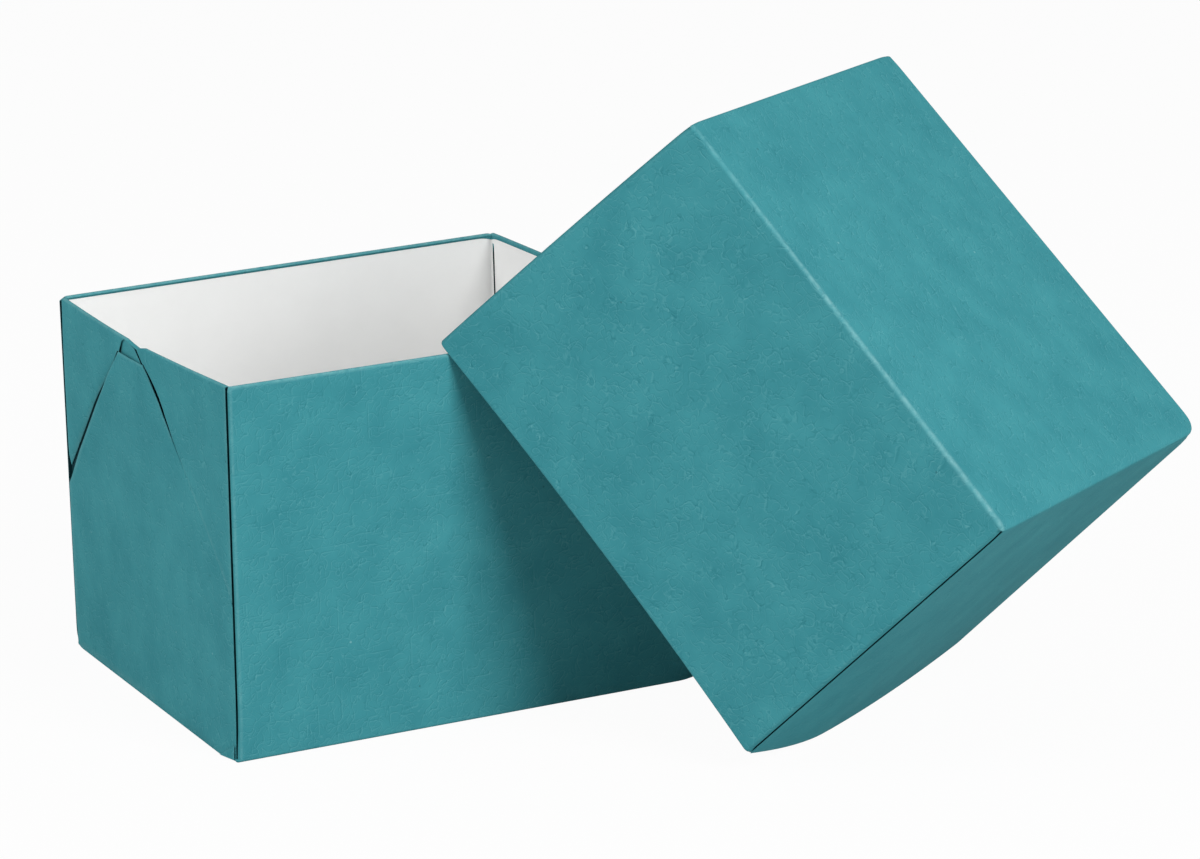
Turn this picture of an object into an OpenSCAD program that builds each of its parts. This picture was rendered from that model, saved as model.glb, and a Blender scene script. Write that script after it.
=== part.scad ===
// Gift box folded from covered board: an open base with its deep lid taken off
// and leaned against it. The origin is the middle of the base's underside.

/* [Base] */
// Length of the base, along its long sides
base_l = 148; // [120:1:200]
// Width of the base, across its end walls
base_w = 130; // [100:1:160]
// Height of the base, from the surface it stands on to its rim
base_h = 114; // [90:1:125]
// How far the middle of an end wall's rim springs outwards
base_bow = 3; // [0:0.5:6]

/* [Lid] */
// Depth of the lid, from its closed face to its rim
lid_depth = 108; // [80:1:125]
// Play between the lid and the base on each side, once the lid is on
lid_play = 0.2; // [0.2:0.1:2]
// How far the middle of the lid's end rim springs outwards
lid_bow = 5; // [0:0.5:7]

/* [Board] */
// Thickness of a wall at its rim
board = 1.7; // [1.3:0.1:2.6]
// Thickness of the panel that is glued outermost on each end wall
panel_t = 0.7; // [0.4:0.1:1]
// Outer radius of a folded corner
fold_r = 1.2; // [0.6:0.1:1.6]
// How far an end panel's cut edge stays back from the long wall's face
edge_gap = 1.5; // [1:0.1:2]

/* [Base end panel] */
// Width of the gable's straight top edge
gable_top_w = 20.6; // [14:0.2:30]
// Depth of the gable's top edge below the rim
gable_drop = 4.5; // [3:0.5:8]
// Depth below the rim at which the gable's slope meets the corner
shoulder_drop = 63; // [50:1:75]
// Depth below the rim at which the slit beside the gable ends
slit_drop = 25; // [12:1:40]
// Width of that slit at the gable's top edge
slit_w = 1; // [0.4:0.1:2]
// Width of the small tongue where it reaches the rim
tongue_top_w = 7.7; // [4:0.1:12]
// Length of the creased ear at the panel's lower corner
ear_l = 9.5; // [6:0.5:14]
// Height of that ear
ear_h = 4; // [2:0.5:6]

/* [Leaning lid] */
// Heading of the lid's end rim, turned from the base's length
lid_heading = 34.4; // [26:0.1:38]
// Where the lid's rim crosses the base's front rim, from the box's middle
crossing_x = -1; // [-20:1:20]
// How far the lid's corner reaches up past that crossing
overhang = 3.9; // [2.5:0.1:12]
// Clearance left where the lid touches the base or the surface below
touch = 0.1; // [0.05:0.05:0.3]

/* [Hidden] */
$fn = 48;
teal = [0.2, 0.52, 0.55];
base_roundness = 1.4;
lid_roundness = 2.2;
spring_rise = 1.5;
lap = 0.05;
tuck = 0.3;
cells_across = 16;
cells_up = 8;
lid_l = base_l + 2 * (board + lid_play);
lid_w = base_w + 2 * (board + lid_play);
tongue_tuck = 1.5;
settle_steps = 40;
tongue_set = panel_t / 2;
ear_t = 0.25;

// Spring of an end wall: none at the corners and the fold, all of it at the rim's middle.
function spring(y, z, w, h, bow, roundness) =
    bow * (1 - pow(min(1, abs(2 * y / (w - 2 * board))), roundness)) * pow(z / h, spring_rise);

// A sheet that follows the sprung end wall, from one depth under its outer face.
module sprung_sheet(l, w, h, bow, roundness, depth, thick, side) {
    inner = w / 2 - board;
    ys = concat([-side], [for (i = [0 : cells_across]) inner * (2 * i / cells_across - 1)], [side]);
    zs = [for (j = [0 : cells_up]) h * j / cells_up];
    columns = len(ys);
    rows = len(zs);
    layer = columns * rows;
    points = [for (x = [0, thick], z = zs, y = ys)
        [-l / 2 + depth + x - spring(y, z, w, h, bow, roundness), y, z]];
    outside = [for (j = [0 : rows - 2], i = [0 : columns - 2])
        let (a = j * columns + i, b = a + 1, c = b + columns, d = a + columns)
        each [[a, b, c], [a, c, d]]];
    inside = [for (f = outside) [f[2] + layer, f[1] + layer, f[0] + layer]];
    rim = concat(
        [for (i = [0 : columns - 1]) i],
        [for (j = [1 : rows - 1]) j * columns + columns - 1],
        [for (i = [columns - 2 : -1 : 0]) (rows - 1) * columns + i],
        [for (j = [rows - 2 : -1 : 1]) j * columns]);
    edge = [for (k = [0 : len(rim) - 1])
        let (a = rim[k], b = rim[(k + 1) % len(rim)])
        each [[b, a, a + layer], [b, a + layer, b + layer]]];
    polyhedron(points, concat(outside, inside, edge), convexity = 6);
}

// Keeps what lies behind an outline drawn on the left end wall, in width and height.
module cut_to(outline, l) {
    intersection() {
        children();
        translate([-l, 0, 0])
            rotate([90, 0, 90])
                linear_extrude(l)
                    polygon(outline);
    }
}

// Rectangle with folded corners.
module folded_outline(l, w) {
    square([l - 2 * fold_r, w], center = true);
    square([l, w - 2 * fold_r], center = true);
    for (x = [-1, 1], y = [-1, 1])
        translate([x * (l / 2 - fold_r), y * (w / 2 - fold_r)])
            circle(fold_r);
}

// Closed face and the two long walls, which fold round into the corners.
module folded_walls(l, w, h) {
    linear_extrude(board)
        folded_outline(l, w);
    linear_extrude(h)
        difference() {
            folded_outline(l - 2 * panel_t, w);
            square([l, w - 2 * board], center = true);
        }
}

// Inner layer of both end walls: the flaps turned in from the long walls.
module end_flaps(l, w, h, bow, roundness) {
    for (turn = [0, 180])
        rotate([0, 0, turn])
            sprung_sheet(l, w, h, bow, roundness, panel_t, board - panel_t, w / 2 - board + tuck);
}

// Outer panel of both end walls, folded up from the closed face and cut to an outline.
module end_panels(l, w, h, bow, roundness, outline) {
    for (turn = [0, 180])
        rotate([0, 0, turn])
            cut_to(outline, l)
                sprung_sheet(l, w, h, bow, roundness, 0, panel_t + lap, w / 2);
}

// Outline of the base's end panel: full on one side, a gable's slope on the other,
// and a slit that opens the full side from the rim downwards.
function gable_outline() =
    let (side = base_w / 2 - edge_gap,
         top = gable_top_w / 2,
         slope = (side - top) / (shoulder_drop - gable_drop))
    [[-side, 0],
     [-side, base_h],
     [-tongue_top_w / 2 - slit_w, base_h],
     [-top - slit_w, base_h - gable_drop],
     [-top - slope * (slit_drop - gable_drop), base_h - slit_drop],
     [-top, base_h - gable_drop],
     [top, base_h - gable_drop],
     [side, base_h - shoulder_drop],
     [side, 0]];

// The tongue between the flaps, from under the gable's top edge to the rim.
function tongue_outline() =
    [[-gable_top_w / 2, base_h - gable_drop - tongue_tuck],
     [-gable_top_w / 2, base_h - gable_drop],
     [-tongue_top_w / 2, base_h],
     [tongue_top_w / 2, base_h],
     [gable_top_w / 2, base_h - gable_drop],
     [gable_top_w / 2, base_h - gable_drop - tongue_tuck]];

// The ear: a small triangle at the lower corner beside the front wall.
function ear_outline() =
    let (side = base_w / 2 - edge_gap)
    [[-side, 0], [-side, ear_h], [-side + ear_l, 0]];

module base_end_details() {
    for (turn = [0, 180])
        rotate([0, 0, turn]) {
            cut_to(tongue_outline(), base_l)
                sprung_sheet(base_l, base_w, base_h, base_bow, base_roundness,
                    tongue_set, panel_t - tongue_set + lap, base_w / 2);
            cut_to(ear_outline(), base_l)
                sprung_sheet(base_l, base_w, base_h, base_bow, base_roundness,
                    -ear_t, ear_t + lap, base_w / 2);
        }
}

module box_base() {
    color(teal) {
        folded_walls(base_l, base_w, base_h);
        end_flaps(base_l, base_w, base_h, base_bow, base_roundness);
        end_panels(base_l, base_w, base_h, base_bow, base_roundness, gable_outline());
        base_end_details();
    }
}

// The lid as folded: closed face down, rim up.
module lid_as_folded() {
    side = lid_w / 2 - edge_gap;
    folded_walls(lid_l, lid_w, lid_depth);
    end_flaps(lid_l, lid_w, lid_depth, lid_bow, lid_roundness);
    end_panels(lid_l, lid_w, lid_depth, lid_bow, lid_roundness,
        [[-side, 0], [-side, lid_depth], [side, lid_depth], [side, 0]]);
}

// A point of the lid as folded, turned over and then by the three angles of the lean.
function turned(p, lean) =
    let (q = [p.y, p.x, -p.z],
         u = [q.x, q.y * cos(lean.x) - q.z * sin(lean.x), q.y * sin(lean.x) + q.z * cos(lean.x)],
         v = [u.x * cos(lean.y) + u.z * sin(lean.y), u.y, u.z * cos(lean.y) - u.x * sin(lean.y)])
    [v.x * cos(lean.z) - v.y * sin(lean.z), v.x * sin(lean.z) + v.y * cos(lean.z), v.z];

// Where the lid goes, so that its long side's rim lies on the base's front rim.
function lid_place(lean) =
    [crossing_x, -base_w / 2, base_h + touch]
    + turned([overhang - lid_l / 2, lid_w / 2 - board, -lid_depth], lean);

function lid_point(p, lean) = lid_place(lean) + turned(p, lean);

// Height of the lid's lower end rim above the surface, at its lowest point.
function floor_gap(lean) =
    min([for (i = [0 : cells_across])
        let (y = (lid_w / 2 - board) * (2 * i / cells_across - 1),
             out = spring(y, lid_depth, lid_w, lid_depth, lid_bow, lid_roundness))
        lid_point([-lid_l / 2 - out, y, lid_depth], lean).z]) - touch;

// Height of the lid's upper end rim above the base's right end rim, where they cross.
function rim_gap(lean) =
    let (near = lid_point([lid_l / 2 - board, -lid_w / 2, lid_depth], lean),
         far = lid_point([lid_l / 2 - board, lid_w / 2, lid_depth], lean),
         share = (base_l / 2 + base_bow - near.x) / (far.x - near.x),
         y = lid_w * (share - 0.5),
         out = spring(y, lid_depth, lid_w, lid_depth, lid_bow, lid_roundness))
    lid_point([lid_l / 2 - board + out, y, lid_depth], lean).z - base_h - touch;

// Tips the lid step by step until it rests on the surface and on both rims.
function settled(lean, steps) =
    steps == 0 ? lean :
    settled(lean + [
        floor_gap(lean) / (lid_l * cos(lean.x)) * 180 / PI,
        rim_gap(lean) / base_l * 180 / PI,
        0], steps - 1);

lid_lean = settled([asin(base_h / (lid_l + lid_bow)), 0, lid_heading], settle_steps);

module box_lid() {
    color(teal)
        translate(lid_place(lid_lean))
            rotate(lid_lean)
                rotate([180, 0, 90])
                    lid_as_folded();
}

box_base();
box_lid();
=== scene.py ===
import math

import bpy
import numpy as np
from mathutils import Matrix


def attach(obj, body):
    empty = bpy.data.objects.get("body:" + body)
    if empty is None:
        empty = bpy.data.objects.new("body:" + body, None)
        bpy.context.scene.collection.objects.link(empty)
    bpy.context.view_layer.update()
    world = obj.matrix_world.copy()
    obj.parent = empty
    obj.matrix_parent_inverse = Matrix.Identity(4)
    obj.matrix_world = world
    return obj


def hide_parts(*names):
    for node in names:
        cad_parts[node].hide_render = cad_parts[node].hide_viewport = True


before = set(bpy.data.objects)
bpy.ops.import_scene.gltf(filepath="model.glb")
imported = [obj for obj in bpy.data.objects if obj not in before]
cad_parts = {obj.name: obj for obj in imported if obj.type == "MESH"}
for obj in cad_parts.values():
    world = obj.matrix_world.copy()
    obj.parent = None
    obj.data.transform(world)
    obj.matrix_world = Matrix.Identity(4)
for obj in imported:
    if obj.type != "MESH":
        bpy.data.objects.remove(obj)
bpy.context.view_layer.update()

# Camera. A long lens about 1.8 metres away, in front of the base and to its left, looking
# down by about sixteen degrees.
camera_place = Matrix((
    (0.89388, 0.14249, -0.42506, -0.67382),
    (-0.44762, 0.23130, -0.86379, -1.52760),
    (-0.02476, 0.96239, 0.27054, 0.54195),
    (0.0, 0.0, 0.0, 1.0)))
camera_data = bpy.data.cameras.new("camera")
camera_data.lens = 169.92
camera_data.sensor_width = 36.0
camera_data.clip_end = 60.0
camera = bpy.data.objects.new("camera", camera_data)
bpy.context.collection.objects.link(camera)
camera.matrix_world = camera_place
bpy.context.scene.camera = camera
bpy.context.scene.view_settings.view_transform = "Standard"

# Studio. A white sweep between two soft boxes and a dim even room: the key stands in front
# and a little to the right, the fill on the left, both about a third of the way up. Each
# has its azimuth, elevation, distance, size and power. The eye sees floor and room as
# white paper.
soft_boxes = (
    ("key_soft_box", 17.0, 33.0, 1.6, 0.72, 20.0),
    ("fill_soft_box", -90.0, 32.0, 1.3, 0.8, 8.3))
lamp_aim = np.array([0.03, -0.05, 0.07])
room_level = 0.27
room_white = 0.985
floor_colour = "#D2D2D2"
floor_white = 0.96
floor_half = 6.0
pure_white = (1.0, 1.0, 1.0, 1.0)


def linear(colour):
    """Turns an sRGB hex colour to linear light, with alpha: a straight line close to black
    and a power of 2.4 above it."""
    parts = np.array([int(colour[i:i + 2], 16) for i in (1, 3, 5)]) / 255
    value = np.where(parts <= 0.04045, parts / 12.92, ((parts + 0.055) / 1.055) ** 2.4)
    return (*value.tolist(), 1.0)


def add(tree, kind, links=(), **settings):
    """Adds a node, sets its properties and joins or fills its inputs."""
    made = tree.nodes.new(kind)
    for name, value in settings.items():
        setattr(made, name, value)
    for name, value in dict(links).items():
        if isinstance(value, bpy.types.NodeSocket):
            tree.links.new(value, made.inputs[name])
        else:
            made.inputs[name].default_value = value
    return made


def seen_directly(tree):
    """1 for what is seen straight, mirrored or through glass, and 0 for what lights."""
    seen = add(tree, "ShaderNodeLightPath")
    mirrored = add(tree, "ShaderNodeMath", {
        0: seen.outputs["Is Glossy Ray"], 1: seen.outputs["Is Transmission Ray"]},
        operation="MAXIMUM")
    direct = add(tree, "ShaderNodeMath", {
        0: seen.outputs["Is Camera Ray"], 1: mirrored.outputs[0]}, operation="MAXIMUM")
    return direct.outputs[0]


def new_material(name):
    """A material with an empty node tree."""
    made = bpy.data.materials.new(name)
    made.use_nodes = True
    made.node_tree.nodes.clear()
    return made


for name, azimuth, elevation, distance, size, power in soft_boxes:
    lamp_data = bpy.data.lights.new(name, "AREA")
    lamp_data.shape = "SQUARE"
    lamp_data.size = size
    lamp_data.energy = power
    lamp = bpy.data.objects.new(name, lamp_data)
    bpy.context.collection.objects.link(lamp)
    turn, tilt = math.radians(azimuth), math.radians(elevation)
    back = np.array([
        math.sin(turn) * math.cos(tilt), -math.cos(turn) * math.cos(tilt), math.sin(tilt)])
    side = np.cross([0.0, 0.0, 1.0], back) / math.cos(tilt)
    stand = np.eye(4)
    stand[:3, :3] = np.stack([side, np.cross(back, side), back], 1)
    stand[:3, 3] = lamp_aim + distance * back
    lamp.matrix_world = Matrix(stand.tolist())

world = bpy.data.worlds.new("white_room")
world.use_nodes = True
world.node_tree.nodes.clear()
level = add(world.node_tree, "ShaderNodeMix", {
    "Factor": seen_directly(world.node_tree), "A": room_level, "B": room_white},
    data_type="FLOAT")
shine = add(world.node_tree, "ShaderNodeBackground", {
    "Color": pure_white, "Strength": level.outputs["Result"]})
add(world.node_tree, "ShaderNodeOutputWorld", {"Surface": shine.outputs["Background"]})
bpy.context.scene.world = world

floor_mesh = bpy.data.meshes.new("floor")
floor_mesh.from_pydata(
    [(-floor_half, -floor_half, 0.0), (floor_half, -floor_half, 0.0),
     (floor_half, floor_half, 0.0), (-floor_half, floor_half, 0.0)],
    [], [(0, 1, 2, 3)])
floor = bpy.data.objects.new("floor", floor_mesh)
bpy.context.collection.objects.link(floor)
white_paper = new_material("white_background_paper")
tree = white_paper.node_tree
matt = add(tree, "ShaderNodeBsdfDiffuse", {"Color": linear(floor_colour)})
glow = add(tree, "ShaderNodeEmission", {"Color": pure_white, "Strength": 1.0})
share = add(tree, "ShaderNodeMath", {0: seen_directly(tree), 1: floor_white}, operation="MULTIPLY")
both = add(tree, "ShaderNodeMixShader", {
    0: share.outputs[0], 1: matt.outputs[0], 2: glow.outputs[0]})
add(tree, "ShaderNodeOutputMaterial", {"Surface": both.outputs[0]})
floor_mesh.materials.append(white_paper)

# Base, folded sheet. Greyboard covered with dyed fibre paper: the closed face and the long
# walls, whose flaps turn in behind the end panels. Lined with white paper, and the
# covering is turned over the rim by about a millimetre. Sizes are in millimetres.
base_l = 148.0
base_w = 130.0
base_h = 114.0
base_bow = 3.0
base_roundness = 1.4
spring_rise = 1.5
board = 1.7
panel = 0.35
fold_r = 0.9
inner_r = 0.35
floor_r = 0.5
lip = 0.6
hem = 1.1
hem_proud = 0.4
flap_depth = 1.42
slot_from = 0.1
slot_to = 0.3
# The raised strip in that slot and the slit in the lining, as distances from the long
# wall's face, and the slit's top, as depths below the rim.
pillar_from = (2.0, 2.4)
pillar_to = (7.0, 8.5)
pillar_rise = 0.65
slit_from = (2.66, 2.74)
slit_to = (3.36, 3.44)
slit_top = (6.0, 4.5)
slit_deep = 0.9
notch_reach = 1.9
web_deep = 1.6
web_reach = 3.0
rim_sunk = 0.3
face_insets = (28.0, 12.0, 5.0, 2.0, 0.9, 0.3)
corner_zone = 8.0
lap_step = 3.2
fold_steps = 7
wall_rows = 36
lining_rows = 30


def spring(y, z, w, h, bow, roundness, lean=0.0):
    """Outward spring of an end wall: nothing at the corners and at the fold, and all of it
    at the rim's middle, or a little beside it, growing with the height to the power of 1.5."""
    beside = 2 * y / (w - 2 * board) - lean
    across = np.minimum(1.0, np.abs(beside) / (1 - lean * np.sign(beside)))
    return bow * (1 - across ** roundness) * np.clip(z / h, 0.0, None) ** spring_rise


def ease(x, low, high):
    """Smooth step from 0 at low to 1 at high: three times the square less twice the cube."""
    t = np.clip((x - low) / (high - low), 0.0, 1.0)
    return t * t * (3 - 2 * t)


def once_round(l, w):
    """One lap of a box seen from above, as four numbers a point: how far it stands along
    and across the box, from -1 to 1, and the direction in which it faces. Steps are short
    beside a corner and even in between."""
    near = np.array([
        0.03, slot_from, 0.2, slot_to, 0.6, 0.7, 1.2, 1.3, 1.4, 1.6, 2.4, 2.8, 4.4, 6.2, 7.7])
    laps = []
    corners = [(1, 1), (-1, 1), (-1, -1), (1, -1)]
    for k in range(4):
        here = np.array(corners[k])
        there = np.array(corners[(k + 1) % 4])
        angle = (k + np.linspace(0, 1, fold_steps + 1)) * math.pi / 2
        laps.append(np.stack([
            np.full_like(angle, here[0]), np.full_like(angle, here[1]),
            np.cos(angle), np.sin(angle)], 1))
        length = l if k % 2 == 0 else w
        middle = np.linspace(corner_zone, length - corner_zone, int(length / lap_step))[1:-1]
        way = np.concatenate([near, middle, length - near[::-1]]) / length
        facing = (k + 1) * math.pi / 2
        laps.append(np.stack([
            here[0] + (there[0] - here[0]) * way, here[1] + (there[1] - here[1]) * way,
            np.full_like(way, math.cos(facing)), np.full_like(way, math.sin(facing))], 1))
    return np.concatenate(laps)


def sheet_section(h, end_roll, side_roll, corner_r, wear_and_highlight):
    """Runs of the folded sheet from the middle of the closed face, out to the fold, up the
    wall, over the rim, down inside and in across the floor. Each row has the inset of the
    end walls, the inset of the long walls, the corner's radius, the height, the share of
    the recess behind the end panel, the wear and painted highlight, and whether it is
    lining. Folds and inside edges are quarter rounds, and the rim is a half round."""
    rows = []
    for inset in face_insets:
        rows.append((end_roll + inset, side_roll + inset, 0.3, 0.0, 0.0,
                     0.35 * wear_and_highlight * math.exp(-inset), 0))
    for a in np.linspace(0, math.pi / 2, fold_steps):
        out = 1 - math.sin(a)
        rows.append((end_roll * out, side_roll * out, max(0.2, corner_r * math.sin(a)),
                     side_roll * (1 - math.cos(a)), 0.0, wear_and_highlight, 0))
    for up, share in ((0.05, 0.0), (0.1, 1.0), (0.35, 1.0), (0.8, 1.0)):
        rows.append((0.02 + (panel - 0.02) * share, 0.0, corner_r, side_roll + up, share, 0.6 * wear_and_highlight, 0))
    low = side_roll + 1.3
    high = h - 1.1
    even = np.linspace(0, 1, wall_rows)
    for z in low + (high - low) * (even - 0.12 * np.sin(2 * math.pi * even)):
        edge = min(z - low, high - z)
        rows.append((panel, 0.0, corner_r, z, 1.0, 0.5 * wear_and_highlight * math.exp(-edge / 0.9), 0))
    inside = board + hem_proud
    # The whole half round over the rim carries a painted highlight of 0.35.
    for a in np.linspace(0, math.pi, 11):
        part = 0.5 - 0.5 * math.cos(a)
        rows.append((panel + (inside - panel) * part, inside * part,
                     corner_r + (inner_r - corner_r) * part,
                     h - lip + lip * math.sin(a), 1 - part, 0.35, 0))
    for inset, down in ((inside - 0.3, 0.62), (inside - 0.3, 0.74), (inside, 0.78)):
        rows.append((inset, inset, inner_r, h - down, 0.0, 0.0, 0))
    rows.append((board + 0.04, board + 0.04, inner_r, h - hem - 0.1, 0.0, 0.0, 0))
    rows.append((board, board, inner_r, h - hem - 0.13, 0.0, 0.0, 1))
    for z in np.concatenate([[h - hem - 0.18, h - hem - 0.6],
                             np.linspace(h - hem - 2.0, board + 2.5, lining_rows),
                             [board + 1.0]]):
        rows.append((board, board, inner_r, z, 0.0, 0.0, 1))
    for a in np.linspace(0, math.pi / 2, 5):
        out = board + floor_r * (1 - math.cos(a))
        rows.append((out, out, inner_r, board + floor_r * (1 - math.sin(a)), 0.0, 0.0, 1))
    for inset in (4.0, 10.0, 30.0):
        rows.append((inset, inset, 0.3, board, 0.0, 0.0, 1))
    return np.array(rows)


def grid_faces(rows, columns, closed, first=0):
    """Quads of a grid of points, which runs right round if it is closed."""
    last = columns if closed else columns - 1
    a = np.arange(rows - 1)[:, None] * columns + np.arange(last)[None, :]
    b = np.arange(rows - 1)[:, None] * columns + (np.arange(last)[None, :] + 1) % columns
    return (first + np.stack([a, b, b + columns, a + columns], -1)).reshape(-1, 4)


def rim_dip(y):
    """How far an end wall's rim sinks, by width: it slants down to a kink beside the middle
    and comes back in a short step."""
    return np.interp(y, (-60.0, -40.0, -8.6, -4.2, 5.5), (0.0, 0.15, 0.25, 1.2, 0.0))


def folded_sheet(l, w, h, bow, roundness, lean, dip, notch, end_roll, side_roll, far_roll,
                 corner_r, set_back, soft, wear_and_highlight):
    """The section carried once round the box: a point is the corner's centre, plus its
    radius in the direction faced. Behind each end panel the sheet steps back into a slot
    beside the corner's fold, the two near folds stand deeper, the rim dips into a notch at
    each corner and sinks behind the tongue, a slit opens in the lining beside the near
    folds, the closed face's corners are softened and the end walls spring out. A value of
    -1 paints shade into the slots behind the end panels and into the lining's slit, whose
    faces take the teal paper. A painted highlight lies beside each corner fold."""
    lap = once_round(l, w)
    section = sheet_section(h, end_roll, side_roll, corner_r, wear_and_highlight)
    along, across, facing_x, facing_y = (lap[:, i][None, :] for i in range(4))
    end_in, side_in, radius, height, recess, wear_and_light_marks, lining = (
        section[:, i][:, None] for i in range(7))
    rolled = (height < side_roll) * (along > 0) * (end_in < end_roll + 3.0)
    end_in = end_in - (1 - far_roll) * np.minimum(end_in, end_roll) * rolled
    x = along * (l / 2 - end_in - radius) + facing_x * radius
    y = across * (w / 2 - side_in - radius) + facing_y * radius
    z = height + 0 * x
    near = x * y > 0
    on_end = (np.abs(facing_x) > 0.999) * (np.abs(along) > 0.999) * (np.abs(across) < 1.0)
    from_side = w / 2 - np.abs(y)
    own = panel + set_back * near
    pillar = near * ease(from_side, *pillar_from) * (1 - ease(from_side, *pillar_to))
    deep = flap_depth - pillar_rise * pillar
    past = ease(from_side, corner_r + slot_from, corner_r + slot_to)
    back = set_back * near * ease(np.abs(x), l / 2 - 9, l / 2 - 2)
    back = np.where(on_end, back + (deep - own) * past, back)
    shut = 1 - (1 - dip) * on_end * ease(z, h - 2.5, h - lip)
    x = x - np.sign(x) * recess * back * shut
    away = np.hypot(l / 2 - np.abs(x), w / 2 - np.abs(y))
    top = ease(z, h - 3.5, h - 0.4)
    sunk = dip * (rim_sunk + rim_dip(np.where(x < 0, y, -y)))
    z = z - top * (notch * np.exp(-(away / notch_reach) ** 4) + sunk * on_end * past)
    indoors = height > board + 0.6
    inner = (end_in >= board - 0.35) & indoors
    hemmed = inner & (z > h - hem - 2.1)
    z = z + 0.75 * np.clip(h - 0.9 - sunk - z, 0.0, 0.8) * hemmed * on_end * top * dip
    x = x + np.sign(x) * np.clip(end_in - board, 0.0, hem_proud) * on_end * dip * indoors
    slit = ease(from_side, *slit_from) * (1 - ease(from_side, *slit_to))
    slit = slit * (1 - ease(z, h - slit_top[0], h - slit_top[1]))
    slit = slit * inner * on_end * near
    x = x + np.sign(x) * slit_deep * slit
    hemmed = inner & (z > h - hem - 0.7)
    z = z - hemmed * near * web_deep * np.exp(-(away / web_reach) ** 2) * (z < h - 0.9)
    low = np.exp(-((away ** 2 + z ** 2) / 9.0)) * np.where(near, soft[0], soft[1]) * (height < 12)
    x = x - np.sign(x) * low
    y = y - np.sign(y) * low
    z = z + 0.6 * low
    x = x + np.sign(x) * spring(np.where(x < 0, y, -y), z, w, h, bow, roundness, lean)
    rows, columns = x.shape
    points = np.stack([x, y, z], -1)
    # A narrow painted highlight beside each corner fold, on the outer covering.
    corner_fold_highlight = np.exp(-((np.hypot(np.abs(x) - l / 2 + 1.4, np.abs(y) - w / 2)) / 0.4) ** 2)
    wear_and_painted_light = np.maximum(wear_and_light_marks + 0 * x, 0.35 * corner_fold_highlight * (lining < 0.5) * (height > 0.5))
    # Painted shade: the slots behind the end panels and the lining's slit get the mark -1, which colours
    # them near black where shade falls.
    gap_shade_mask = recess * on_end * shut * (from_side > corner_r + slot_from - 0.02)
    in_slit = inner * on_end * near * (z < h - 4.9) \
        * (from_side > slit_from[0] - 0.06) * (from_side < slit_to[1] + 0.06)
    wear_and_painted_light = np.where((gap_shade_mask > 0.5) | (in_slit > 0.5), -1.0, wear_and_painted_light)
    # Faces in the lining's slit take the teal paper instead of the white, and are painted dark as shade.
    white = (section[1:, 6] > 0.5)[:, None] & (slit[1:] < 0.5) & (np.roll(slit, -1, 1)[1:] < 0.5)
    paper = white.astype(np.int32).reshape(-1)
    caps = [list(range(columns))[::-1], list(range((rows - 1) * columns, rows * columns))]
    return points.reshape(-1, 3), grid_faces(rows, columns, True), caps, paper, wear_and_painted_light.reshape(-1)


def settled(points, size, pulls):
    """Moves the eight corners of the box by up to a few millimetres, so that its outline
    follows the real one. A point between them moves by all the corners' pulls, each
    weighted by how near that corner is along the length, the width and the height."""
    x = np.clip(points[:, 0] / size[0] + 0.5, 0, 1)
    y = np.clip(points[:, 1] / size[1] + 0.5, 0, 1)
    z = np.clip(points[:, 2] / size[2], 0, 1)
    weights = np.stack([1 - x, x], -1)[:, :, None, None] \
        * np.stack([1 - y, y], -1)[:, None, :, None] * np.stack([1 - z, z], -1)[:, None, None, :]
    return points + np.einsum("nijk,ijkc->nc", weights, np.array(pulls))


def gather(parts):
    """Joins parts, each of points, quads, caps, paper and marks of wear and painted light, into one set
    of arrays.
    """
    points, faces, papers, wear_and_light_marks = [], [], [], []
    start = 0
    for part_points, quads, caps, paper, wear_and_painted_light in parts:
        points.append(part_points)
        faces += (quads + start).tolist()
        faces += [[index + start for index in cap] for cap in caps]
        papers += paper.tolist()
        papers += [0, 1][:len(caps)]
        wear_and_light_marks.append(wear_and_painted_light)
        start += len(part_points)
    return np.concatenate(points), faces, papers, np.concatenate(wear_and_light_marks)


def sheet_object(name, parts, papers_used):
    """Makes one mesh of the parts, in metres, smooth but for its cut edges."""
    points, faces, papers, wear_and_light_marks = gather(parts)
    mesh = bpy.data.meshes.new(name)
    mesh.from_pydata((points / 1000).tolist(), [], faces)
    for paper in papers_used:
        mesh.materials.append(paper)
    mesh.polygons.foreach_set("material_index", np.array(papers, dtype=np.int32))
    mesh.polygons.foreach_set("use_smooth", np.ones(len(faces), dtype=bool))
    wear_light_layer = mesh.attributes.new("wear_light_layer", "FLOAT", "POINT")
    wear_light_layer.data.foreach_set("value", wear_and_light_marks.astype(np.float32))
    mesh.set_sharp_from_angle(angle=math.radians(50))
    mesh.update()
    made = bpy.data.objects.new(name, mesh)
    bpy.context.collection.objects.link(made)
    return made


# Dyed fibre paper: handmade cellulose paper in teal. To the eye it is matt and softly
# clouded, with short curled fibres pressed into the sheet, a few pale and dark flecks
# and a paler core where a fold is rubbed. The fibres' lighter and darker sides are
# painted highlight and painted shade. Painted highlights lie along cut edges, over the
# rim and beside the corner folds, and painted shade lies in the slots between the sheets
# and in the lining's slit. Clouds, fibre curls, patches of wear and painted highlight and
# the paper's tooth are given in millimetres, and flecks by their spacing and their reach
# as a share of it. The fibres are drawn coarser than the real ones, so that they show.
paper_light = "#42929A"
paper_dark = "#38868F"
fibre_highlight = "#62A6AC"
fibre_shade = "#2A747D"
fleck_dark = "#2C5F66"
fleck_tan = "#B0875A"
# Pale colour for the rubbed fold of the lid, for the painted highlights and for pale flecks.
pale_wear_and_highlight = "#9CCBCC"
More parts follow.
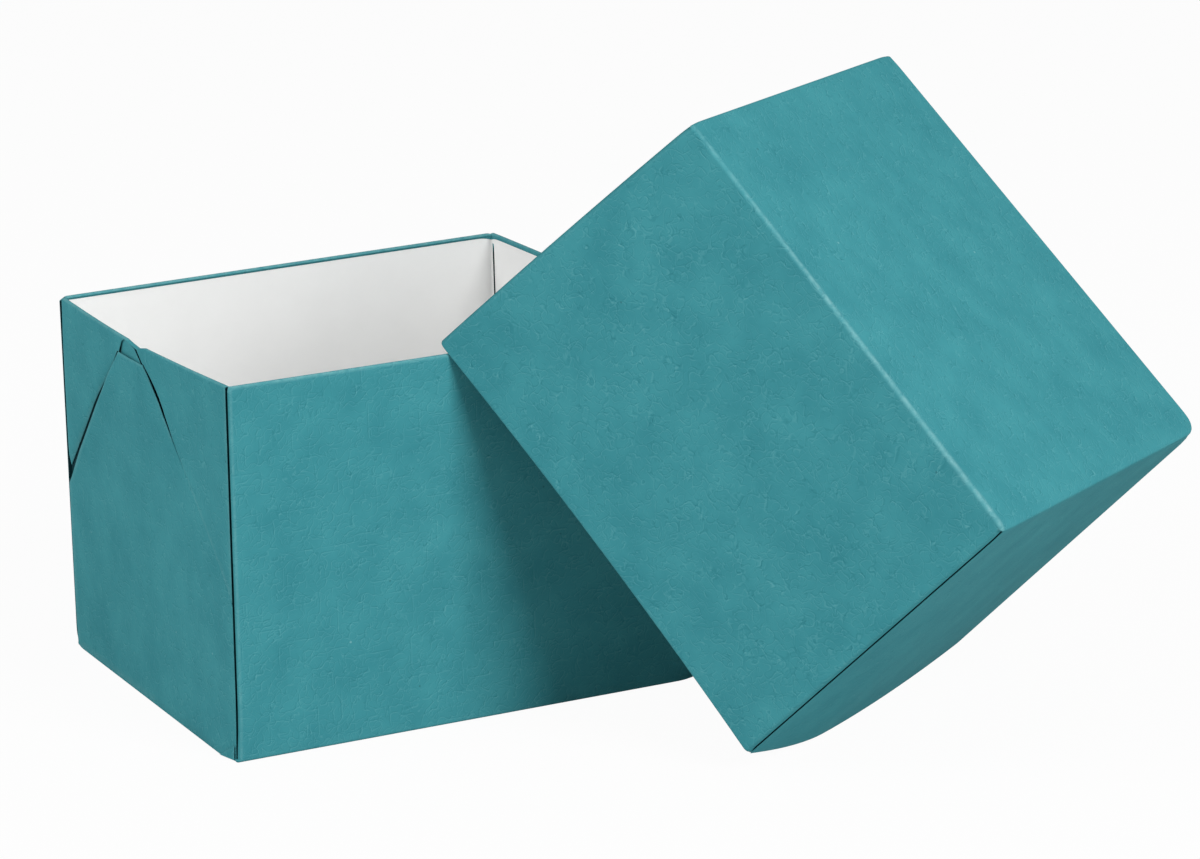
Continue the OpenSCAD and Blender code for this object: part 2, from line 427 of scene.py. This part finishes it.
# Near-black colour of the painted shade in the slots between the sheets and in the lining's slit.
gap_shade_colour = "#0C3238"
cloud_size = 16.0
fibre_curls = (
    ((3.1, 7.7, 1.3), 2.9), ((61.0, 23.0, 47.0), 3.5), ((17.0, 91.0, 5.0), 2.5),
    ((131.0, 3.0, 77.0), 3.9), ((211.0, 43.0, 19.0), 3.2))
fibre_cluster = 5.0
fibre_outer = 0.034
fibre_inner = 0.005
shade_step = (0.14, 0.14, -0.2)
fibre_highlight_and_shade = ((fibre_highlight, 0.24), (fibre_shade, -0.32))
flecks = (
    (13.0, 0.035, fleck_dark, 0.5), (48.0, 0.011, fleck_tan, 0.7), (21.0, 0.02, pale_wear_and_highlight, 0.35))
wear_and_highlight_patch = 3.0
tooth_size = 0.9

teal_paper = new_material("teal_fibre_paper")
tree = teal_paper.node_tree
place = add(tree, "ShaderNodeTexCoord")
in_mm = add(tree, "ShaderNodeMapping", {
    "Vector": place.outputs["Object"], "Scale": (1000.0, 1000.0, 1000.0)})
sheet = in_mm.outputs["Vector"]
cloud = add(tree, "ShaderNodeTexNoise", {
    "Vector": sheet, "Scale": 1 / cloud_size, "Detail": 3.0, "Roughness": 0.6})
clouded = add(tree, "ShaderNodeMapRange", {
    "Value": cloud.outputs["Fac"], "From Min": 0.3, "From Max": 0.7})
colour = add(tree, "ShaderNodeMix", {
    "Factor": clouded.outputs["Result"], "A": linear(paper_dark), "B": linear(paper_light)},
    data_type="RGBA").outputs["Result"]
height = None
lit = None
# Each fibre's ridge less the same ridge moved by shade_step gives its lit side and its shaded side,
# which are painted lighter and darker; the ridge also raises the bump.
for shift, size in fibre_curls:
    elsewhere = add(tree, "ShaderNodeMapping", {"Vector": sheet, "Location": shift[::-1]})
    keep = add(tree, "ShaderNodeTexNoise", {
        "Vector": elsewhere.outputs["Vector"], "Scale": 1 / fibre_cluster, "Detail": 0.0})
    kept = add(tree, "ShaderNodeMapRange", {
        "Value": keep.outputs["Fac"], "From Min": 0.28, "From Max": 0.56},
        interpolation_type="SMOOTHSTEP")
    ridges = []
    for step in ((0.0, 0.0, 0.0), shade_step):
        moved = add(tree, "ShaderNodeMapping", {
            "Vector": sheet, "Location": tuple(np.add(shift, step).tolist())})
        bends = add(tree, "ShaderNodeTexNoise", {
            "Vector": moved.outputs["Vector"], "Scale": 1 / size, "Detail": 0.0})
        off = add(tree, "ShaderNodeMath", {0: bends.outputs["Fac"], 1: 0.5}, operation="SUBTRACT")
        from_line = add(tree, "ShaderNodeMath", {0: off.outputs[0]}, operation="ABSOLUTE")
        line = add(tree, "ShaderNodeMapRange", {
            "Value": from_line.outputs[0], "From Min": fibre_outer, "From Max": fibre_inner},
            interpolation_type="SMOOTHSTEP")
        ridges.append(add(tree, "ShaderNodeMath", {
            0: line.outputs["Result"], 1: kept.outputs["Result"]}, operation="MULTIPLY").outputs[0])
    side = add(tree, "ShaderNodeMath", {0: ridges[0], 1: ridges[1]}, operation="SUBTRACT").outputs[0]
    lit = side if lit is None else add(
        tree, "ShaderNodeMath", {0: lit, 1: side}, operation="ADD").outputs[0]
    height = ridges[0] if height is None else add(
        tree, "ShaderNodeMath", {0: height, 1: ridges[0]}, operation="ADD").outputs[0]
# Painted highlight and painted shade on the fibres' two sides.
for tint, turn in fibre_highlight_and_shade:
    share = add(tree, "ShaderNodeMath", {0: lit, 1: turn}, operation="MULTIPLY", use_clamp=True)
    colour = add(tree, "ShaderNodeMix", {
        "Factor": share.outputs[0], "A": colour, "B": linear(tint)},
        data_type="RGBA").outputs["Result"]
for spacing, reach, tint, amount in flecks:
    spots = add(tree, "ShaderNodeTexVoronoi", {"Vector": sheet, "Scale": 1 / spacing})
    fleck = add(tree, "ShaderNodeMapRange", {
        "Value": spots.outputs["Distance"], "From Min": reach, "From Max": 0.6 * reach,
        "To Min": 0.0, "To Max": amount})
    colour = add(tree, "ShaderNodeMix", {
        "Factor": fleck.outputs["Result"], "A": colour, "B": linear(tint)},
        data_type="RGBA").outputs["Result"]
# Above zero the mark turns the paper pale in patches: real wear on the lid's long fold, painted
# highlight on cut edges, over the rims and beside the corner folds.
wear_light_layer = add(tree, "ShaderNodeAttribute", attribute_name="wear_light_layer")
patches = add(tree, "ShaderNodeTexNoise", {
    "Vector": sheet, "Scale": 1 / wear_and_highlight_patch, "Detail": 4.0, "Roughness": 0.65})
uneven = add(tree, "ShaderNodeMapRange", {
    "Value": patches.outputs["Fac"], "From Min": 0.35, "From Max": 0.62,
    "To Min": 0.25, "To Max": 1.0})
wear_and_painted_light = add(tree, "ShaderNodeMath", {0: wear_light_layer.outputs["Fac"], 1: uneven.outputs["Result"]},
          operation="MULTIPLY")
pale = add(tree, "ShaderNodeMath", {0: wear_and_painted_light.outputs[0], 1: 0.42}, operation="MULTIPLY")
pale = add(tree, "ShaderNodeMath", {0: pale.outputs[0], 1: 0.85}, operation="MINIMUM")
colour = add(tree, "ShaderNodeMix", {
    "Factor": pale.outputs[0], "A": colour, "B": linear(pale_wear_and_highlight)},
    data_type="RGBA").outputs["Result"]
# Painted shade: below zero the mark turns the colour towards near black, in the slots and the slit.
painted_gap_shade = add(tree, "ShaderNodeMapRange", {
    "Value": wear_light_layer.outputs["Fac"], "From Min": -0.1, "From Max": -0.9})
colour = add(tree, "ShaderNodeMix", {
    "Factor": painted_gap_shade.outputs["Result"], "A": colour, "B": linear(gap_shade_colour)},
    data_type="RGBA").outputs["Result"]
tooth = add(tree, "ShaderNodeTexNoise", {
    "Vector": sheet, "Scale": 1 / tooth_size, "Detail": 2.0, "Roughness": 0.6})
grain = add(tree, "ShaderNodeMath", {0: tooth.outputs["Fac"], 1: 0.6}, operation="MULTIPLY")
relief = add(tree, "ShaderNodeMath", {0: height, 1: grain.outputs[0]}, operation="ADD")
bump = add(tree, "ShaderNodeBump", {
    "Height": relief.outputs[0], "Strength": 0.09, "Distance": 0.0001})
skin = add(tree, "ShaderNodeBsdfPrincipled", {
    "Base Color": colour, "Roughness": 0.8, "IOR": 1.45, "Normal": bump.outputs["Normal"]})
skin.inputs["Specular IOR Level"].default_value = 0.1
add(tree, "ShaderNodeOutputMaterial", {"Surface": skin.outputs[0]})

# White lining paper: smooth machine-made paper. Plain white, with a trace of cloud about
# eleven millimetres across.
lining_light = "#FAFAF9"
lining_dark = "#F5F5F4"
lining_cloud = 90.0

white_lining = new_material("white_lining_paper")
tree = white_lining.node_tree
place = add(tree, "ShaderNodeTexCoord")
cloud = add(tree, "ShaderNodeTexNoise", {
    "Vector": place.outputs["Object"], "Scale": lining_cloud, "Detail": 4.0, "Roughness": 0.6})
colour = add(tree, "ShaderNodeMix", {
    "Factor": cloud.outputs["Fac"], "A": linear(lining_dark), "B": linear(lining_light)},
    data_type="RGBA").outputs["Result"]
bump = add(tree, "ShaderNodeBump", {
    "Height": cloud.outputs["Fac"], "Strength": 0.25, "Distance": 0.0002})
skin = add(tree, "ShaderNodeBsdfPrincipled", {
    "Base Color": colour, "Roughness": 0.6, "IOR": 1.45, "Normal": bump.outputs["Normal"]})
skin.inputs["Specular IOR Level"].default_value = 0.3
add(tree, "ShaderNodeOutputMaterial", {"Surface": skin.outputs[0]})

# Base, end panels. Each is folded up from the closed face and glued over the flaps. Its
# top is a gable, cut away on both sides, and the flaps' own corners show there, turned
# over the rim. A small tongue fills the middle, and an ear is creased at the near foot.
# The gable's edges are points of width from the middle and depth below the rim.
flap = 0.22
edge_gap = 1.5
gable_far = ((65.0, 61.9), (32.9, 27.7), (10.7, 5.4))
gable_near = ((-63.5, 64.5), (-27.6, 26.3), (-24.9, 23.2), (-18.2, 14.6), (-11.9, 8.3), (-8.2, 5.5))
gable_drop = 5.4
slope_lift = 0.75
slit_lift = 0.2
crease_flat = 0.14
rim_inside = 1.8
climb_end = 0.7
turn_end = 0.92
ear_side = 56.6
ear_high = 4.5
ear_proud = 0.45
ear_thick = 0.15


def end_place(y, z, depth, l, w, h, bow, roundness, lean=0.0):
    """Point on the left end wall, from width, height and depth under its outer face."""
    out = spring(y, z, w, h, bow, roundness, lean)
    return np.stack([-l / 2 + depth - out, y, z], -1)


def base_end(y, z, depth):
    """The same for the base."""
    return end_place(y, z, depth, base_l, base_w, base_h, base_bow, base_roundness)


def thin_sheet(place, across, up, thick, wear_and_light_marks, draw=0.003):
    """Closed thin sheet: an outer and a back face on one grid, both drawn in by a hair at
    the border, with two border rings between them, so its cut edge is a rounded band."""
    s, t = np.meshgrid(across, up)
    rows, columns = s.shape
    index = np.arange(rows * columns).reshape(rows, columns)
    border = np.concatenate([
        index[0, :-1], index[:-1, -1], index[-1, :0:-1], index[:0:-1, 0]])
    pulled_s = np.clip(s, draw, 1 - draw)
    pulled_t = np.clip(t, draw, 1 - draw)
    edge = 0.25 * thick
    outer = place(pulled_s, pulled_t, 0.0).reshape(-1, 3)
    back = place(pulled_s, pulled_t, thick).reshape(-1, 3)
    rim_s = s.reshape(-1)[border]
    rim_t = t.reshape(-1)[border]
    first = place(rim_s, rim_t, edge)
    second = place(rim_s, rim_t, thick - edge)
    size = rows * columns
    count = len(border)
    ring = np.arange(count)
    after = (ring + 1) % count
    quads = [grid_faces(rows, columns, False), grid_faces(rows, columns, False, size)[:, ::-1]]
    loops = [border, 2 * size + ring, 2 * size + count + ring, size + border]
    for upper, lower in zip(loops[:-1], loops[1:]):
        quads.append(np.stack([upper[ring], lower[ring], lower[after], upper[after]], -1))
    quads = np.concatenate(quads)
    points = np.concatenate([outer, back, first, second])
    wear_and_painted_light = np.zeros(len(points))
    # The border and the cut edge carry the painted highlight given for the edge.
    wear_and_highlight = wear_and_light_marks(rim_s, rim_t)
    wear_and_painted_light[border] = wear_and_highlight
    wear_and_painted_light[2 * size:] = np.tile(wear_and_highlight, 2)
    return points, quads, [], np.zeros(len(quads), dtype=np.int32), wear_and_painted_light


def spun(part):
    """The same part at the other end: turned half round the box's middle."""
    points, quads, caps, paper, wear_and_painted_light = part
    return points * np.array([-1.0, -1.0, 1.0]), quads, caps, paper, wear_and_painted_light


def drop_at(line, y):
    """Depth below the rim of a line of points, each of width and depth, at a width."""
    points = np.array(sorted(line))
    return np.interp(y, points[:, 0], points[:, 1])


def width_at(line, drop):
    """Width of the same line at a depth below the rim."""
    points = np.array(sorted(line, key=lambda point: point[1]))
    return np.interp(drop, points[:, 1], points[:, 0])


def gable(s, t, depth):
    """Main panel: straight sides up to the shoulders, then both run in to the gable's top.
    It lifts a little off the flaps along its far slope and beside the slit."""
    side = base_w / 2 - edge_gap
    foot = fold_r + 0.02
    z = foot + t * (base_h - gable_drop - foot)
    drop = base_h - z
    far = np.minimum(side - 0.3 - 0.7 * np.exp(-z / 6.0), width_at(gable_far, drop))
    near = np.maximum(-side, width_at(gable_near, drop))
    y = far + (near - far) * s
    slope = ease(drop, 60.0, 45.0) * ease(drop, 4.0, 16.0)
    beside_slit = ease(drop, 25.0, 15.0) * ease(drop, 4.0, 9.0)
    lift = slope_lift * ease(y, far - 12.0, far) * slope
    lift = lift + slit_lift * ease(-y, -near - 6.0, -near) * beside_slit
    flat = crease_flat * ease(-y, -near - 5.0, -near) * ease(drop, 24.0, 34.0)
    return base_end(y, z, depth - lift + flat)


def over_rim(y, foot, t, depth, outside, inside, top, down):
    """A flap that climbs from its foot, turns over the rim on a flattened half round and
    comes down inside: the outer face is offset inwards by the depth everywhere."""
    up = np.clip(t / climb_end, 0, 1)
    angle = math.pi * np.clip((t - climb_end) / (turn_end - climb_end), 0, 1)
    fall = np.clip((t - turn_end) / (1 - turn_end), 0, 1)
    rise = np.minimum(lip, top - foot)
    middle = 0.5 * (outside + inside)
    half = 0.5 * (inside - outside) - depth
    crown = np.clip(np.sin(angle), 0.0, None) ** 0.65
    z = foot + (top - rise - foot) * up + (rise - depth) * crown - down * fall
    return base_end(y, z, middle - half * np.cos(angle))


def far_flap(s, t, depth):
    """Flap beyond the gable's slope. Its foot keeps off the slope, by more lower down, and
    a narrow strip of it runs on along the rim above the tongue."""
    side = base_w / 2 - edge_gap - 0.6
    y = side + (-4.0 - side) * s
    away = 1.5 + 3.6 * ease(y, 12.0, 40.0)
    top = base_h - rim_dip(y)
    along_tongue = np.interp(y, (-4.0, 5.5, 7.8, 10.6), (1.55, 0.35, 1.4, 5.0))
    drop = np.where(y > 10.6, drop_at(gable_far, y - away), along_tongue)
    climbed = (drop - lip) * np.clip(t / climb_end, 0, 1)
    outside = flap + 0.1 * ease(y, 20.0, 0.0) + 0.75 * ease(y, 10.0, 26.0) * np.exp(-climbed / 2.0)
    y = y - 0.8 * ease(y, side - 3.0, side) * ease(drop * (1 - t / climb_end), 14.0, 0.0)
    return over_rim(y, base_h - drop, t, depth, outside, rim_inside, top, 0.15)


def near_flap(s, t, depth):
    """Flap on the near side. It leaves the slit open, is tucked under the panel below it,
    and its rim steps down beside the tongue."""
    side = base_w / 2 - edge_gap
    y = -3.9 + (3.9 - side) * s
    open_by = np.interp(
        y, (-27.6, -24.8, -20.0, -15.5, -11.9, -8.2), (-0.6, 0.0, 0.8, 1.0, 0.35, 0.15))
    along_tongue = np.interp(y, (-7.5, -3.9), (5.4, 1.75))
    drop = np.where(y < -7.5, drop_at(gable_near, y) - open_by, along_tongue)
    outside = 0.42 - 0.22 * ease(-y, 20.0, 40.0)
    top = base_h + 0.05 - rim_dip(y)
    return over_rim(y, base_h - drop, t, depth, outside, rim_inside + 0.1, top, 0.15)


def tongue(s, t, depth):
    """Tongue between the flaps: it narrows to the rim. Its far edge lies behind one flap
    and its near edge in front of the other."""
    drop = gable_drop + 1.2 - t * (gable_drop + 0.7 - 1.1 * s)
    far = np.interp(drop, (0.2, 1.4, 5.1), (6.3, 8.5, 11.2))
    near = np.interp(drop, (1.3, 5.4), (-2.3, -6.0))
    y = far + (near - far) * s
    return base_end(y, base_h - drop, 0.85 - 0.65 * s ** 2 + 0.3 * (1 - t) + depth)


def ear(s, t, depth):
    """Ear at the lower near corner: a small triangle pressed on the panel."""
    side = base_w / 2 - edge_gap
    z = 0.65 + ear_high * t
    y = -side + (side - ear_side) * (1 - t) * (1 - s) + 0.02
    return base_end(y, z, depth - ear_proud)


def even_edge_highlight(s, t):
    """The same painted highlight all round an edge."""
    return 0.25 + 0.0 * s


def gable_edge_highlight(s, t):
    """A painted highlight along the gable's edge, weaker along the crease below the slit."""
    return 0.3 * np.where((s > 0.5) & (t < 0.82), 0.15, 1.0)


gable_rows = np.concatenate([
    np.linspace(0, (base_h - 64.0) / (base_h - gable_drop), 18, endpoint=False),
    np.linspace((base_h - 64.0) / (base_h - gable_drop), 1, 62)])
fine = np.linspace(0, 1, 41)
far_across = np.concatenate([np.linspace(0, 0.78, 40, endpoint=False), np.linspace(0.78, 1, 34)])
near_across = np.concatenate([np.linspace(0, 0.4, 44, endpoint=False), np.linspace(0.4, 1, 24)])
flap_up = np.concatenate([
    np.linspace(0, 0.66, 16), [0.69], np.linspace(climb_end, turn_end, 10), [0.95, 1.0]])
base_ends = []
for turned in (False, True):
    for part in (
            thin_sheet(gable, fine, gable_rows, panel, gable_edge_highlight),
            thin_sheet(far_flap, far_across, flap_up, flap, even_edge_highlight),
            thin_sheet(near_flap, near_across, flap_up, flap, even_edge_highlight),
            thin_sheet(tongue, np.linspace(0, 1, 15), np.linspace(0, 1, 9), flap, even_edge_highlight),
            thin_sheet(ear, np.linspace(0, 0.98, 5), np.linspace(0, 0.97, 8), ear_thick, even_edge_highlight)):
        base_ends.append(spun(part) if turned else part)


foot_push = 1.9
tip_flare = 0.4


def foot_pushed(points):
    """The left wall's foot stands out by up to 1.9 mm, growing towards the near corner, and
    falls back across the ear to the corner's tip, which flares a little itself."""
    x, y, z = points.T
    grown = np.clip((60.0 - y) / 116.6, 0, 1) * np.clip((y + 64.8) / 8.2, 0, 1)
    tip = ease(-y, 63.7, 64.1) * ease(-x, base_l / 2 - 6.0, base_l / 2 - 0.8)
    push = foot_push * grown * np.exp(-(z / 10.0) ** 2) + tip_flare * tip * np.exp(-(z / 7.0) ** 2)
    return np.stack([x - push * (x < -50.0), y, z], 1)


def rim_painted_highlight(points, wear_and_painted_light):
    """A painted highlight along the top of the rim, all round, except where shade is painted."""
    return wear_and_painted_light + 0.5 * (wear_and_painted_light >= 0) * ease(points[:, 2], base_h - 0.45, base_h - 0.1)


base_walls = folded_sheet(
    base_l, base_w, base_h, base_bow, base_roundness, lean=0.0, dip=1.0, notch=0.9,
    end_roll=fold_r, side_roll=fold_r, far_roll=1.0, corner_r=0.8, set_back=0.4,
    soft=(0.0, 0.5), wear_and_highlight=0.05)
base_pulls = [
    [[(-1.5, -0.5, 0.0), (0.0, 0.0, 0.0)], [(-0.9, 1.0, 0.0), (-1.4, -0.15, -0.75)]],
    [[(3.2, 0.9, 0.0), (0.0, 0.0, 0.0)], [(0.0, 0.0, 0.0), (-0.3, 0.0, 0.2)]]]
base = sheet_object(
    "box_base_folded",
    [(settled(foot_pushed(points), (base_l, base_w, base_h), base_pulls), quads, caps, paper,
      rim_painted_highlight(points, wear_and_painted_light))
     for points, quads, caps, paper, wear_and_painted_light in [base_walls] + base_ends],
    [teal_paper, white_lining])
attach(base, "root")
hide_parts("box_base")

# Lid. Folded in the same way, a little larger, with plain end panels. It leans open side
# down against the base: one end stands on the surface and its rim lies on the base's rim.
# One long fold of the closed face is rubbed pale.
lid_play = 0.2
lid_l = base_l + 2 * (board + lid_play)
lid_w = base_w + 2 * (board + lid_play)
lid_h = 108.0
lid_bow = 5.0
lid_roundness = 1.7
lid_bow_lean = -0.45
lid_lean = (46.1629, 2.7067, 34.4)
lid_at = np.array([125.814, -133.020, 133.863])
lid_belly = 0.5
lid_hang = 1.6


def lid_panel(s, t, depth):
    """Plain panel from the fold of the closed face to the rim."""
    side = lid_w / 2 - edge_gap
    foot = 1.5 + 0.35 * (1 - s)
    z = foot + t * (lid_h - 0.38 - foot)
    y = side - 2 * side * s
    return end_place(y, z, depth, lid_l, lid_w, lid_h, lid_bow, lid_roundness, lid_bow_lean)


def lid_edge_highlight(s, t):
    """A painted highlight along the panel's edge at its sides and its rim, not at the fold."""
    return 0.25 * np.clip(t / 0.02, 0, 1)


def lid_sagged(points):
    """The long wall in front bellies out at its upper end and its rim is drawn back in a
    shallow curve, both as parabolas. The corners at the closed face are rounded off, one
    of them more than the others."""
    x, y, z = points.T
    front = np.clip(0.5 - y / lid_w, 0, 1)
    up = np.clip(z / lid_h, 0, 1)
    along = np.clip(x / lid_l + 0.5, 0, 1)
    belly = lid_belly * 4 * up * (1 - up) * along ** 3 * front ** 4
    hang = lid_hang * 4 * along * (1 - along) * up * front ** 4
    away = np.hypot(lid_l / 2 - np.abs(x), lid_w / 2 - np.abs(y))
    soft = np.exp(-(away ** 2 + z ** 2) / 12.0) * np.where((x < 0) & (y > 0), 1.0, 0.25)
    x = x + belly - 1.3 * np.sign(x) * soft
    return np.stack([x, y - 0.3 * np.sign(y) * soft, z - hang + 0.7 * soft], 1)


def lid_set_down(points):
    """Turns the lid over, leans it by three angles and sets it down."""
    over = np.stack([points[:, 1], points[:, 0], -points[:, 2]], -1)
    a, b, c = (math.radians(angle) for angle in lid_lean)
    about_x = np.array([[1, 0, 0], [0, math.cos(a), -math.sin(a)], [0, math.sin(a), math.cos(a)]])
    about_y = np.array([[math.cos(b), 0, math.sin(b)], [0, 1, 0], [-math.sin(b), 0, math.cos(b)]])
    about_z = np.array([[math.cos(c), -math.sin(c), 0], [math.sin(c), math.cos(c), 0], [0, 0, 1]])
    return over @ (about_z @ about_y @ about_x).T + lid_at


lid_pulls = [
    [[(0.9, -0.2, 0.1), (1.2, -1.0, 3.7)], [(1.4, 2.9, -0.6), (0.0, 0.0, 0.0)]],
    [[(-4.0, 1.5, -1.1), (1.5, -0.2, 1.2)], [(-1.8, 1.7, 1.1), (0.0, 0.0, 0.0)]]]
plain = thin_sheet(lid_panel, fine, np.linspace(0, 1, 41), panel, lid_edge_highlight)
lid_walls = folded_sheet(
    lid_l, lid_w, lid_h, lid_bow, lid_roundness, lean=lid_bow_lean, dip=0.0, notch=0.15,
    end_roll=3.0, side_roll=1.2, far_roll=0.35, corner_r=1.3, set_back=0.3,
    soft=(0.0, 0.0), wear_and_highlight=0.05)
placed = []
for points, quads, caps, paper, wear_and_painted_light in (lid_walls, plain, spun(plain)):
    # On the lid the painted highlights are quartered, the painted shade is kept, and the long fold is
    # rubbed pale.
    fold = np.hypot(points[:, 1] + lid_w / 2 - 0.6, points[:, 2] - 0.3)
    along = np.clip(0.5 - points[:, 0] / lid_l, 0, 1)
    worn_pale = (0.45 + 0.5 * ease(along, 0.0, 0.5)) * np.exp(-(fold / (0.55 + 0.3 * along)) ** 2)
    wear_and_painted_light = np.where(wear_and_painted_light < 0, 1.0, 0.25) * wear_and_painted_light + worn_pale
    points = settled(lid_sagged(points), (lid_l, lid_w, lid_h), lid_pulls)
    placed.append((lid_set_down(points), quads, caps, paper, wear_and_painted_light))
lid = sheet_object("box_lid_folded", placed, [teal_paper, white_lining])
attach(lid, "root")
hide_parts("box_lid")
